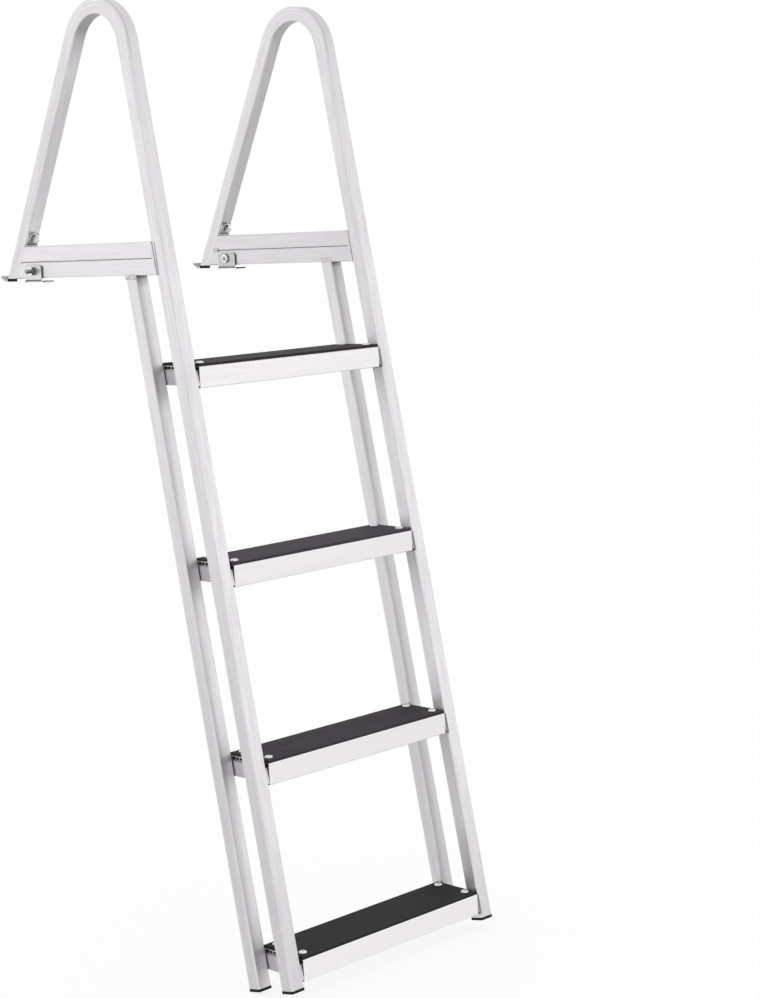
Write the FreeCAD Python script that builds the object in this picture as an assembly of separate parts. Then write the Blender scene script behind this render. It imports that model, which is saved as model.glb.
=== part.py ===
import FreeCAD
import Part
import math
import os

from FreeCAD import Vector

# A fixed dock ladder of square aluminium tube, with hooped handrails and four wide steps.
# Millimetres. X runs along the steps, Y towards the dock, Z up. The origin is on the dock
# surface, under the left dock bracket, in line with its bolt.

# Tube
TUBE = 25.4
TUBE_WALL = 1.6
TUBE_CORNER = 2.6

# Side frames
RAIL_SPACING = 428.5
POST_LEAN = math.radians(10.55)
LEG_LEAN = math.radians(27.3)
BEND_RADIUS = 73.5
POST_TO_LEG = 411.3
REAR_POST_OFFSET = 81.2
FOOT_LEVEL = -1102.0

# Arms over the dock
ARM_HEIGHT = 27.0
ARM_CORNER = 2.2
END_PLATE = 5.0

# Dock bracket, an angle bent from sheet
SHEET = 2.5
BASE_WIDTH = 25.0
BEND_EDGE = 3.0
PLATE_REAR = 82.0
TIP_RISE = math.radians(34.0)
TIP_LENGTH = 18.5
TAB_LENGTH = 48.0
TAB_HEIGHT = 27.0
TAB_CORNER = 6.0
SIDE_CLEARANCE = 0.2
DOCK_HOLE_RADIUS = 4.25
DOCK_HOLES = (-14.0, 14.0)
REST_START = 26.0
REST_CLEARANCE = 0.5
LEG_CAP = 5.0

# Bolts
BOLT_RADIUS = 4.0
BOLT_CLEARANCE = 0.3
BOLT_FLATS = 13.0
BOLT_HEAD = 5.5
BOLT_NUT = 6.5
BOLT_TO_LEG = 51.5
BOLT_HEIGHT = 12.0
BOLT_THREAD_END = 15.0
CORNER_THREAD_END = 13.0

# Corner bracket
CORNER_WIDTH = 21.0
CORNER_HEIGHT = 20.0
CORNER_FOOT = 3.0
CORNER_BOLT_HEIGHT = 16.0

# Caps
FOOT_CAP = 4.0
CAP_LIP = 0.7
PLUG_LENGTH = 16.0
PLUG_CLEARANCE = 0.3

# Steps
STEP_TOPS = (-139.2, -451.9, -759.5, -1061.0)
STEP_END_GAP = 4.0
STEP_DEPTH = 96.0
STEP_OVERHANG = 3.6
EDGE_ROUND = 1.6
FASCIA_HEIGHT = 34.9
FASCIA_DEPTH = 12.0
SKIN = 1.5
DECK = 7.0
DECK_CELLS = 9
REAR_RIB_HEIGHT = 16.0
REAR_RIB_DEPTH = 8.0
FASCIA_SHELF = 24.0
MAT = 4.5
MAT_DEPTH = 92.4
MAT_SETBACK = 0.6
MAT_RIBS = 18
MAT_GROOVE = 1.8
MAT_GROOVE_DEPTH = 0.7
BRACKET = 3.0
BRACKET_DROP = 31.0
BRACKET_FLANGE = 22.0
BRACKET_SETBACK = 1.5
FLANGE_GAP = 1.0

ARM_BOTTOM = SHEET + LEG_CAP
ARM_TOP = ARM_BOTTOM + 2 * ARM_HEIGHT
SIDES = {"left": 0.0, "right": RAIL_SPACING}


def along_post(angle):
    return Vector(0, math.sin(angle), math.cos(angle))


def post_front(z):
    """Y of the front posts' front face at height z."""
    return BOLT_TO_LEG - POST_TO_LEG + math.tan(POST_LEAN) * (z - ARM_BOTTOM)


def post_rear(z):
    return post_front(z) + TUBE / math.cos(POST_LEAN)


def leg_front(z):
    """Y of the hoop leg's face that looks at the posts."""
    return BOLT_TO_LEG - math.tan(LEG_LEAN) * (z - ARM_BOTTOM)


def rounded_wire(centre, across, normal, width, depth, corner):
    """A closed rectangle, rounded if corner isn't 0: width along across, depth along normal."""
    w = width / 2
    d = depth / 2
    k = corner * (1 - math.sqrt(0.5))

    def at(a, b):
        return centre + across * a + normal * b

    if not corner:
        return Part.makePolygon([at(w, d), at(-w, d), at(-w, -d), at(w, -d), at(w, d)])

    edges = []
    turns = ((1, 1), (-1, 1), (-1, -1), (1, -1))
    for index, (sa, sb) in enumerate(turns):
        swapped = sa * sb < 0
        first = at(sa * w, sb * (d - corner))
        last = at(sa * (w - corner), sb * d)
        middle = at(sa * (w - k), sb * (d - k))
        start, end = (last, first) if swapped else (first, last)
        edges.append(Part.Arc(start, middle, end).toShape())
        na, nb = turns[(index + 1) % 4]
        next_first = at(na * w, nb * (d - corner))
        next_last = at(na * (w - corner), nb * d)
        next_start = next_last if na * nb < 0 else next_first
        edges.append(Part.makeLine(end, next_start))
    return Part.Wire(edges)


def tube_face(centre, axis, width, depth, wall, corner):
    """The cross-section of a tube whose axis lies in the YZ plane."""
    across = Vector(1, 0, 0)
    normal = across.cross(axis)
    normal.normalize()
    outer = Part.Face(rounded_wire(centre, across, normal, width, depth, corner))
    if not wall:
        return outer
    inner = rounded_wire(centre, across, normal, width - 2 * wall, depth - 2 * wall, 0)
    return outer.cut(Part.Face(inner))


def slab(points, x_low, x_high):
    """A plate with the given (y, z) outline, from x_low to x_high."""
    corners = [Vector(x_low, y, z) for y, z in points]
    face = Part.Face(Part.makePolygon(corners + corners[:1]))
    return face.extrude(Vector(x_high - x_low, 0, 0))


def rounded_outline(x, corners):
    """A closed wire at x through (y, z, radius) corners."""
    points = [Vector(x, y, z) for y, z, radius in corners]
    turns = []
    for index, here in enumerate(points):
        radius = corners[index][2]
        back = (points[index - 1] - here).normalize()
        ahead = (points[(index + 1) % len(points)] - here).normalize()
        half = back.getAngle(ahead) / 2
        inward = (back + ahead).normalize()
        reach = radius / math.tan(half)
        turns.append((here + back * reach, here + inward * (radius / math.sin(half) - radius),
                      here + ahead * reach))
    edges = []
    for index, (start, middle, end) in enumerate(turns):
        if corners[index][2]:
            edges.append(Part.Arc(start, middle, end).toShape())
        edges.append(Part.makeLine(end, turns[(index + 1) % len(turns)][0]))
    return Part.Wire(edges)


def block(x_low, x_high, y_low, y_high, z_low, z_high):
    return Part.makeBox(x_high - x_low, y_high - y_low, z_high - z_low,
                        Vector(x_low, y_low, z_low))


def rod(x_low, x_high, y, z, radius):
    return Part.makeCylinder(radius, x_high - x_low, Vector(x_low, y, z), Vector(1, 0, 0))


def below_leg(x):
    """The space under the hoop leg, to cut its end level."""
    return block(x - TUBE, x + TUBE, 0, BOLT_TO_LEG + 4 * TUBE, ARM_BOTTOM - 3 * TUBE,
                 ARM_BOTTOM)


def hexagon(seat, axis, height, flats=BOLT_FLATS):
    """A hexagonal head or nut standing on seat, along axis."""
    side = Vector(1, 0, 0) if abs(axis.x) < 0.5 else Vector(0, 1, 0)
    other = axis.cross(side)
    reach = flats / math.sqrt(3)
    points = []
    for index in range(6):
        angle = math.radians(60 * index)
        points.append(seat + side * (reach * math.cos(angle)) + other * (reach * math.sin(angle)))
    return Part.Face(Part.makePolygon(points + points[:1])).extrude(axis * height)


def foot_centre(x, offset):
    """The middle of a post's lower end, offset back from the front post."""
    axis = along_post(POST_LEAN)
    normal = Vector(0, axis.z, -axis.y)
    corner = Vector(x, post_front(FOOT_LEVEL), FOOT_LEVEL)
    return corner + normal * (offset * math.cos(POST_LEAN) + TUBE / 2)


def make_rail(x):
    """Front post, hoop and leg: one bent tube."""
    up = along_post(POST_LEAN)
    down = Vector(0, math.sin(LEG_LEAN), -math.cos(LEG_LEAN))
    foot = foot_centre(x, 0.0)
    post_edge = post_front(ARM_BOTTOM) + (TUBE / 2 + BEND_RADIUS) / math.cos(POST_LEAN)
    leg_edge = BOLT_TO_LEG + (TUBE / 2 - BEND_RADIUS) / math.cos(LEG_LEAN)
    rise = (leg_edge - post_edge) / (math.tan(POST_LEAN) + math.tan(LEG_LEAN))
    centre = Vector(x, post_edge + math.tan(POST_LEAN) * rise, ARM_BOTTOM + rise)
    bend_start = centre + Vector(0, -up.z, up.y) * BEND_RADIUS
    bend_end = centre + Vector(0, -down.z, down.y) * BEND_RADIUS
    turn = math.degrees(math.pi - POST_LEAN - LEG_LEAN)
    start_face = tube_face(bend_start, up, TUBE, TUBE, TUBE_WALL, TUBE_CORNER)
    end_face = tube_face(bend_end, down, TUBE, TUBE, TUBE_WALL, TUBE_CORNER)
    post = start_face.extrude(foot - bend_start)
    bend = start_face.revolve(centre, Vector(-1, 0, 0), turn)
    leg = end_face.extrude(down * (bend_end.z / math.cos(LEG_LEAN) + TUBE))
    rail = post.fuse([bend, leg]).removeSplitter()
    rail = rail.cut(below_leg(x))
    face, axis = corner_bolt_line(x)
    return rail.cut(Part.makeCylinder(BOLT_RADIUS + BOLT_CLEARANCE, 2 * TUBE,
                                      face - axis * (TUBE * 1.5), axis))


def make_rear_post(x):
    up = along_post(POST_LEAN)
    foot = foot_centre(x, REAR_POST_OFFSET)
    face = tube_face(foot, up, TUBE, TUBE, TUBE_WALL, TUBE_CORNER)
    post = face.extrude(up * ((ARM_BOTTOM - foot.z) / up.z + TUBE))
    top = block(x - TUBE, x + TUBE, post_front(ARM_BOTTOM), 0, ARM_BOTTOM,
                ARM_BOTTOM + 3 * TUBE)
    return post.cut(top)


def make_arm(x, level):
    """A tube between the end plate and the hoop leg, mitred at both ends."""
    z = ARM_BOTTOM + level * ARM_HEIGHT
    spare = TUBE / 2
    start = Vector(x, post_rear(z) - spare, z + ARM_HEIGHT / 2)
    face = tube_face(start, Vector(0, 1, 0), TUBE, ARM_HEIGHT, TUBE_WALL, ARM_CORNER)
    tube = face.extrude(Vector(0, leg_front(z) + spare - start.y, 0))
    low = z - spare
    high = z + ARM_HEIGHT + spare
    keep = slab([(post_rear(low) + END_PLATE, low), (leg_front(low), low),
                 (leg_front(high), high), (post_rear(high) + END_PLATE, high)],
                x - TUBE, x + TUBE)
    arm = tube.common(keep)
    if level == 0:
        arm = arm.cut(rod(x - TUBE, x + TUBE, 0, ARM_BOTTOM + BOLT_HEIGHT,
                          BOLT_RADIUS + BOLT_CLEARANCE))
    return arm


def make_end_plate(x):
    half = TUBE / 2
    outline = [(post_rear(ARM_BOTTOM), ARM_BOTTOM),
               (post_rear(ARM_BOTTOM) + END_PLATE, ARM_BOTTOM),
               (post_rear(ARM_TOP) + END_PLATE, ARM_TOP),
               (post_rear(ARM_TOP), ARM_TOP)]
    return slab(outline, x - half, x + half)


def corner_bolt_line(x):
    """Where the corner bolt meets the leg's face, and the way its tip points."""
    z = ARM_TOP + CORNER_BOLT_HEIGHT
    return (Vector(x, leg_front(z), z),
            Vector(0, -math.cos(LEG_LEAN), -math.sin(LEG_LEAN)))


def make_corner_bracket(x):
    """A bent plate on the leg's face and the arm's top, with its bolt hole."""
    half = CORNER_WIDTH / 2
    top = ARM_TOP + CORNER_HEIGHT
    thick = SHEET / math.cos(LEG_LEAN)
    foot_end = leg_front(ARM_TOP) - thick - CORNER_FOOT
    outline = [(leg_front(ARM_TOP), ARM_TOP), (leg_front(top), top),
               (leg_front(top) - thick, top),
               (leg_front(ARM_TOP + SHEET) - thick, ARM_TOP + SHEET),
               (foot_end, ARM_TOP + SHEET), (foot_end, ARM_TOP)]
    bracket = slab(outline, x - half, x + half)
    face, axis = corner_bolt_line(x)
    hole = Part.makeCylinder(BOLT_RADIUS + BOLT_CLEARANCE, TUBE, face - axis * (TUBE / 2), axis)
    return bracket.cut(hole)


def make_corner_bolt(x):
    """Bolt through the leg: head behind it, nut and thread end on the corner bracket."""
    face, axis = corner_bolt_line(x)
    back = face - axis * TUBE
    shaft = Part.makeCylinder(BOLT_RADIUS, TUBE + SHEET + CORNER_THREAD_END, back, axis)
    head = hexagon(back - axis * BOLT_HEAD, axis, BOLT_HEAD)
    nut = hexagon(face + axis * SHEET, axis, BOLT_NUT)
    return shaft.fuse([head, nut])


def make_dock_bracket(x):
    """An angle: a base plate with an upturned tip, and one tab beside the lower arm."""
    outside = x - TUBE / 2 - SIDE_CLEARANCE - SHEET
    inside = outside + BASE_WIDTH
    front = -TAB_LENGTH / 2
    tip = Vector(0, math.cos(TIP_RISE), math.sin(TIP_RISE))
    over = Vector(0, -tip.z, tip.y)
    end = Vector(0, PLATE_REAR, 0) + tip * TIP_LENGTH
    fold = SHEET * math.tan(TIP_RISE / 2)
    plate = slab([(front, 0), (PLATE_REAR, 0), (end.y, end.z),
                  (end.y + over.y * SHEET, end.z + over.z * SHEET),
                  (PLATE_REAR - fold, SHEET), (front, SHEET)], outside, inside)
    tab = block(outside, outside + SHEET, front, -front, 0, SHEET + TAB_HEIGHT)
    corners = [edge for edge in tab.Edges
               if edge.BoundBox.ZMin > SHEET and edge.BoundBox.XLength > SHEET / 2]
    tab = tab.makeFillet(TAB_CORNER, corners)
    rest = block(x - TUBE / 2, inside, REST_START, BOLT_TO_LEG - REST_CLEARANCE, SHEET,
                 ARM_BOTTOM)
    bend = block(outside, outside + BEND_EDGE, front, -front, 0, BEND_EDGE)
    bend = bend.cut(Part.makeCylinder(BEND_EDGE, TAB_LENGTH,
                                      Vector(outside + BEND_EDGE, front, BEND_EDGE),
                                      Vector(0, 1, 0)))
    bracket = plate.fuse([tab, rest]).removeSplitter().cut(bend)
    bracket = bracket.cut(rod(outside - SHEET, x, 0, ARM_BOTTOM + BOLT_HEIGHT,
                              BOLT_RADIUS + BOLT_CLEARANCE))
    for y in DOCK_HOLES:
        bracket = bracket.cut(Part.makeCylinder(DOCK_HOLE_RADIUS, 3 * SHEET,
                                                Vector(x, y, -SHEET)))
    return bracket


def make_dock_bolt(x, outward):
    """Bolt through the tab and the lower arm, nut and thread end on the outer side."""
    z = ARM_BOTTOM + BOLT_HEIGHT
    axis = Vector(outward, 0, 0)
    tab = Vector(x - TUBE / 2 - SIDE_CLEARANCE - SHEET, 0, z)
    arm = Vector(x + TUBE / 2, 0, z)
    under_head, under_nut = (arm, tab) if outward < 0 else (tab, arm)
    grip = arm.x - tab.x
    shaft = Part.makeCylinder(BOLT_RADIUS, grip + BOLT_THREAD_END, under_head, axis)
    head = hexagon(under_head - axis * BOLT_HEAD, axis, BOLT_HEAD)
    nut = hexagon(under_nut, axis, BOLT_NUT)
    return shaft.fuse([head, nut])


def make_leg_cap(x):
    """The pad under the hoop leg, with a plug inside the tube."""
    run = TUBE / math.cos(LEG_LEAN)
    pad = block(x - TUBE / 2, x + TUBE / 2, BOLT_TO_LEG, BOLT_TO_LEG + run, SHEET, ARM_BOTTOM)
    axis = Vector(0, -math.sin(LEG_LEAN), math.cos(LEG_LEAN))
    middle = Vector(x, BOLT_TO_LEG + run / 2, ARM_BOTTOM)
    width = TUBE - 2 * TUBE_WALL - 2 * PLUG_CLEARANCE
    face = tube_face(middle - axis * TUBE, axis, width, width, 0, 0)
    plug = face.extrude(axis * (TUBE + PLUG_LENGTH)).cut(below_leg(x))
    return pad.fuse(plug)


def make_foot_cap(x, offset):
    axis = along_post(POST_LEAN)
    foot = foot_centre(x, offset)
    side = TUBE + 2 * CAP_LIP
    pad = tube_face(foot - axis * FOOT_CAP, axis, side, side, 0, TUBE_CORNER + CAP_LIP)
    width = TUBE - 2 * TUBE_WALL - 2 * PLUG_CLEARANCE
    plug = tube_face(foot, axis, width, width, 0, 0)
    return pad.extrude(axis * FOOT_CAP).fuse(plug.extrude(axis * PLUG_LENGTH))


STEP_START = TUBE / 2 + STEP_END_GAP
STEP_END = RAIL_SPACING - STEP_START


def make_tread(top):
    """Hollow extrusion: deep front edge, cellular deck and rear rib."""
    front = post_front(top) - STEP_OVERHANG
    rear = STEP_DEPTH - REAR_RIB_DEPTH

    def corner(depth, drop, radius):
        return (front + depth, top - drop, radius)

    outline = [corner(0, 0, EDGE_ROUND),
               corner(STEP_DEPTH, 0, EDGE_ROUND),
               corner(STEP_DEPTH, REAR_RIB_HEIGHT, EDGE_ROUND),
               corner(rear, REAR_RIB_HEIGHT, EDGE_ROUND),
               corner(rear, DECK, 0),
               corner(FASCIA_DEPTH, DECK, 0),
               corner(FASCIA_DEPTH, FASCIA_HEIGHT, EDGE_ROUND),
               corner(0, FASCIA_HEIGHT, EDGE_ROUND)]
    profile = Part.Face(rounded_outline(STEP_START, outline))

    def cell(depth_low, depth_high, drop_low, drop_high):
        hole = [corner(depth_low, drop_low, 0), corner(depth_high, drop_low, 0),
                corner(depth_high, drop_high, 0), corner(depth_low, drop_high, 0)]
        return Part.Face(rounded_outline(STEP_START, hole))

    cells = [cell(SKIN, FASCIA_DEPTH - SKIN, SKIN, DECK - SKIN),
             cell(SKIN, FASCIA_DEPTH - SKIN, DECK, FASCIA_SHELF - SKIN),
             cell(SKIN, FASCIA_DEPTH - SKIN, FASCIA_SHELF, FASCIA_HEIGHT - SKIN),
             cell(rear + SKIN, STEP_DEPTH - SKIN, SKIN, REAR_RIB_HEIGHT - SKIN)]
    pitch = (rear - FASCIA_DEPTH + SKIN) / DECK_CELLS
    for index in range(DECK_CELLS):
        start = FASCIA_DEPTH + pitch * index
        cells.append(cell(start, start + pitch - SKIN, SKIN, DECK - SKIN))
    return profile.cut(cells).extrude(Vector(STEP_END - STEP_START, 0, 0))


def make_mat(top):
    """Rubber mat with grooves along the step."""
    front = post_front(top) - STEP_OVERHANG + MAT_SETBACK
    mat = block(STEP_START, STEP_END, front, front + MAT_DEPTH, top, top + MAT)
    pitch = MAT_DEPTH / (MAT_RIBS + 1)
    for index in range(MAT_RIBS):
        y = front + pitch * (index + 1)
        mat = mat.cut(block(STEP_START - 1, STEP_END + 1, y - MAT_GROOVE / 2,
                            y + MAT_GROOVE / 2, top + MAT - MAT_GROOVE_DEPTH, top + MAT + 1))
    return mat


def make_step_bracket(top, side):
    """An angle on both posts' inner faces, with the tread's deck on its flange."""
    high = top - DECK
    low = top - BRACKET_DROP
    reach = REAR_POST_OFFSET
    plate = slab([(post_front(low) + BRACKET_SETBACK, low),
                  (post_rear(low) + reach - BRACKET_SETBACK, low),
                  (post_rear(high) + reach - BRACKET_SETBACK, high),
                  (post_front(high) + BRACKET_SETBACK, high)], TUBE / 2, TUBE / 2 + BRACKET)
    front = post_front(top) - STEP_OVERHANG
    flange = block(TUBE / 2, TUBE / 2 + BRACKET_FLANGE, front + FASCIA_DEPTH + FLANGE_GAP,
                   front + STEP_DEPTH - REAR_RIB_DEPTH - FLANGE_GAP, high - BRACKET, high)
    angle = plate.fuse(flange).removeSplitter()
    if side == "right":
        angle = angle.mirror(Vector(RAIL_SPACING / 2, 0, 0), Vector(1, 0, 0))
    return angle


def build():
    nodes = {}
    for side, x in SIDES.items():
        outward = -1 if side == "left" else 1
        nodes[side + "_rail"] = make_rail(x)
        nodes[side + "_rear_post"] = make_rear_post(x)
        nodes[side + "_lower_arm"] = make_arm(x, 0)
        nodes[side + "_upper_arm"] = make_arm(x, 1)
        nodes[side + "_arm_end_plate"] = make_end_plate(x)
        nodes[side + "_corner_bracket"] = make_corner_bracket(x)
        nodes[side + "_corner_bolt"] = make_corner_bolt(x)
        nodes[side + "_dock_bracket"] = make_dock_bracket(x)
        nodes[side + "_dock_bolt"] = make_dock_bolt(x, outward)
        nodes[side + "_leg_cap"] = make_leg_cap(x)
        nodes[side + "_front_foot_cap"] = make_foot_cap(x, 0.0)
        nodes[side + "_rear_foot_cap"] = make_foot_cap(x, REAR_POST_OFFSET)
    for number, top in enumerate(STEP_TOPS, 1):
        name = "step_%d" % number
        nodes[name + "_tread"] = make_tread(top)
        nodes[name + "_mat"] = make_mat(top)
        nodes[name + "_bracket_left"] = make_step_bracket(top, "left")
        nodes[name + "_bracket_right"] = make_step_bracket(top, "right")
    return nodes


os.makedirs("parts", exist_ok=True)
for node, shape in build().items():
    if len(shape.Solids) != 1 or not shape.isValid():
        raise RuntimeError("%s: %d solids, valid %s" % (node, len(shape.Solids), shape.isValid()))
    shape.Solids[0].exportStep("parts/" + node + ".step")
    print(node, round(shape.Volume / 1000, 1), "cm3")
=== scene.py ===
import math
import random

import bmesh
import bpy
from mathutils import Matrix, Vector


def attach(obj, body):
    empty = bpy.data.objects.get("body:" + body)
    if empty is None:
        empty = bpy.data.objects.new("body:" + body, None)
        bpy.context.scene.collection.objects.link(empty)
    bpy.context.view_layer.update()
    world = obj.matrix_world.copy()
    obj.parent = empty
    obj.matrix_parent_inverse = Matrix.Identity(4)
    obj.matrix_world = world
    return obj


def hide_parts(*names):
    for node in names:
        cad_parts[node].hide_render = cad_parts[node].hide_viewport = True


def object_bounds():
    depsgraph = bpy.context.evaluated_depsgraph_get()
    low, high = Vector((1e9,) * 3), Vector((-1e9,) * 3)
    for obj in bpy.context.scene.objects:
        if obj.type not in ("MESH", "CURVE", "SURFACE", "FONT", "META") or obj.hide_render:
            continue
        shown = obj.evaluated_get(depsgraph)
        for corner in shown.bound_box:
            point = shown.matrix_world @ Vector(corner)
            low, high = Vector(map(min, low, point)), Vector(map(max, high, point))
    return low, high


# Dock ladder: finer tubes, mats and fasteners than the solids', materials, studio and camera.
# Lengths are in millimetres; material nodes, lights and the camera take metres.

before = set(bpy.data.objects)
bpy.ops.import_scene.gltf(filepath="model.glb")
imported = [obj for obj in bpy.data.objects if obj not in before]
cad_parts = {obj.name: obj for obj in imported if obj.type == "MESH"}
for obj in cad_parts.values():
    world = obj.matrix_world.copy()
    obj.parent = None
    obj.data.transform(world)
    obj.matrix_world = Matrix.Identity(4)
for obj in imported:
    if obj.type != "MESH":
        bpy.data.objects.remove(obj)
cad_low, cad_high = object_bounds()
random.seed(7)
MM = 0.001

# Sizes of the solids
TUBE = 25.4
TUBE_CORNER = 2.6
RAIL_SPACING = 428.5
POST_LEAN = math.radians(10.55)
LEG_LEAN = math.radians(27.3)
BEND_RADIUS = 73.5
POST_TO_LEG = 411.3
REAR_POST_OFFSET = 81.2
FOOT_LEVEL = -1102.0
ARM_HEIGHT = 27.0
ARM_CORNER = 2.2
END_PLATE = 5.0
SHEET = 2.5
LEG_CAP = 5.0
TAB_HALF = 24.0
PLATE_REAR = 82.0
SIDE_CLEARANCE = 0.2
BOLT_RADIUS = 4.0
BOLT_TO_LEG = 51.5
BOLT_HEIGHT = 12.0
BOLT_THREAD_END = 15.0
CORNER_THREAD_END = 13.0
CORNER_BOLT_HEIGHT = 16.0
STEP_TOPS = (-139.2, -451.9, -759.5, -1061.0)
STEP_END_GAP = 4.0
STEP_DEPTH = 96.0
STEP_OVERHANG = 3.6
FASCIA_HEIGHT = 34.9
FASCIA_DEPTH = 12.0
FASCIA_SHELF = 24.0
SKIN = 1.5
DECK = 7.0
DECK_CELLS = 9
REAR_RIB_HEIGHT = 16.0
REAR_RIB_DEPTH = 8.0
MAT = 4.5
MAT_DEPTH = 92.4
MAT_SETBACK = 0.6
ARM_BOTTOM = SHEET + LEG_CAP
ARM_TOP = ARM_BOTTOM + 2 * ARM_HEIGHT
STEP_START = TUBE / 2 + STEP_END_GAP
STEP_END = RAIL_SPACING - STEP_START
SIDES = {"left": 0.0, "right": RAIL_SPACING}

# Directions
RIGHT = Vector((1, 0, 0))
TO_DOCK = Vector((0, 1, 0))
UP = Vector((0, 0, 1))
POST_UP = Vector((0, math.sin(POST_LEAN), math.cos(POST_LEAN)))
POST_IN = Vector((0, math.cos(POST_LEAN), -math.sin(POST_LEAN)))
LEG_DOWN = Vector((0, math.sin(LEG_LEAN), -math.cos(LEG_LEAN)))
LEG_IN = Vector((0, math.cos(LEG_LEAN), math.sin(LEG_LEAN)))


def post_front(z):
    """Y of the front posts' front face at a level."""
    return BOLT_TO_LEG - POST_TO_LEG + math.tan(POST_LEAN) * (z - ARM_BOTTOM)


def post_rear(z):
    """Y of the front posts' rear face at a level."""
    return post_front(z) + TUBE / math.cos(POST_LEAN)


def leg_front(z):
    """Y of the hoop legs' front face at a level."""
    return BOLT_TO_LEG - math.tan(LEG_LEAN) * (z - ARM_BOTTOM)


def hoop():
    """The bend's centre, the post's foot, the post's length below the bend and the turn."""
    post_edge = post_front(ARM_BOTTOM) + (TUBE / 2 + BEND_RADIUS) / math.cos(POST_LEAN)
    leg_edge = BOLT_TO_LEG + (TUBE / 2 - BEND_RADIUS) / math.cos(LEG_LEAN)
    rise = (leg_edge - post_edge) / (math.tan(POST_LEAN) + math.tan(LEG_LEAN))
    centre = Vector((0, post_edge + math.tan(POST_LEAN) * rise, ARM_BOTTOM + rise))
    foot = Vector((0, post_front(FOOT_LEVEL), FOOT_LEVEL)) + POST_IN * (TUBE / 2)
    run = (centre - POST_IN * BEND_RADIUS - foot).length
    return centre, foot, run, math.pi - POST_LEAN - LEG_LEAN


# Material nodes
def new_material(name):
    """A material, its node tree and its shader."""
    material = bpy.data.materials.new(name)
    material.use_nodes = True
    tree = material.node_tree
    return material, tree, tree.nodes["Principled BSDF"]


def coordinate(tree, source):
    """The tubes' length map, or the object's own place or normal."""
    if source == "length":
        spot = tree.nodes.new("ShaderNodeUVMap")
        spot.uv_map = "length"
        return spot.outputs["UV"]
    return tree.nodes.new("ShaderNodeTexCoord").outputs[source]


def split(tree, source):
    """The X, Y and Z outputs of a coordinate."""
    parts = tree.nodes.new("ShaderNodeSeparateXYZ")
    tree.links.new(coordinate(tree, source), parts.inputs["Vector"])
    return parts.outputs


def stretched(tree, source, scale, detail, rough):
    """Noise on a coordinate, stretched by scale."""
    mapping = tree.nodes.new("ShaderNodeMapping")
    mapping.inputs["Scale"].default_value = scale
    tree.links.new(coordinate(tree, source), mapping.inputs["Vector"])
    noise = tree.nodes.new("ShaderNodeTexNoise")
    noise.inputs["Scale"].default_value = 1.0
    noise.inputs["Detail"].default_value = detail
    noise.inputs["Roughness"].default_value = rough
    tree.links.new(mapping.outputs["Vector"], noise.inputs["Vector"])
    return noise.outputs["Fac"]


def between(tree, socket, low, high):
    """A value as 0 to 1 between low and high."""
    span = tree.nodes.new("ShaderNodeMapRange")
    span.inputs["From Min"].default_value = low
    span.inputs["From Max"].default_value = high
    tree.links.new(socket, span.inputs["Value"])
    return span.outputs["Result"]


def ramp(tree, socket, stops):
    """Colours at places along a value; one number stands for a grey, above 1 it lightens."""
    node = tree.nodes.new("ShaderNodeValToRGB")
    elements = node.color_ramp.elements
    while len(elements) < len(stops):
        elements.new(0.5)
    for element, (place, colour) in zip(elements, stops):
        if isinstance(colour, float):
            colour = (colour,) * 3
        element.position = place
        element.color = (*colour, 1)
    tree.links.new(socket, node.inputs["Fac"])
    return node.outputs["Color"]


def mixed(tree, factor, first, second, blend="MIX"):
    """Second over first by factor, which is a number or a socket."""
    node = tree.nodes.new("ShaderNodeMix")
    node.data_type = "RGBA"
    node.blend_type = blend
    if isinstance(factor, float):
        node.inputs["Factor"].default_value = factor
    else:
        tree.links.new(factor, node.inputs["Factor"])
    tree.links.new(first, node.inputs["A"])
    tree.links.new(second, node.inputs["B"])
    return node.outputs["Result"]


def multiplied(tree, first, second):
    """The product of two colours."""
    return mixed(tree, 1.0, first, second, "MULTIPLY")


def painted_corner_shade(tree, colour, reach, floor):
    """Paints shade into a colour in corners and gaps narrower than reach."""
    shade = tree.nodes.new("ShaderNodeAmbientOcclusion")
    shade.samples = 6
    shade.inputs["Distance"].default_value = reach
    return multiplied(tree, colour, ramp(tree, shade.outputs["AO"], [(0.10, floor), (0.80, 1.0)]))


def add_bump(tree, shader, noise, strength, distance):
    """Fine relief from a noise."""
    bump = tree.nodes.new("ShaderNodeBump")
    bump.inputs["Strength"].default_value = strength
    bump.inputs["Distance"].default_value = distance
    tree.links.new(noise, bump.inputs["Height"])
    tree.links.new(bump.outputs["Normal"], shader.inputs["Normal"])


def base_colour(material):
    """The node tree, the shader and the socket that feeds its base colour."""
    tree = material.node_tree
    shader = tree.nodes["Principled BSDF"]
    return tree, shader, shader.inputs["Base Color"].links[0].from_socket


def brushed(name, source, fine, broad, colour, dark, roughness, reach=0.004, floor=0.35):
    """Satin metal with fine streaks, broad tone changes and painted shade in corners and gaps."""
    material, tree, shader = new_material(name)
    streaks = stretched(tree, source, fine, 3, 0.6)
    clouds = stretched(tree, source, broad, 2, 0.5)
    tone = mixed(tree, 0.5, ramp(tree, streaks, [(0.35, dark), (0.62, colour)]),
                 ramp(tree, clouds, [(0.3, dark), (0.7, colour)]))
    # painted shade in corners and gaps, from the occlusion within reach
    tree.links.new(painted_corner_shade(tree, tone, reach, floor), shader.inputs["Base Color"])
    gloss = ramp(tree, streaks, [(0.3, roughness + 0.06), (0.7, roughness - 0.05)])
    tree.links.new(gloss, shader.inputs["Roughness"])
    add_bump(tree, shader, streaks, 0.06, 0.0002)
    shader.inputs["Metallic"].default_value = 1.0
    return material


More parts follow.
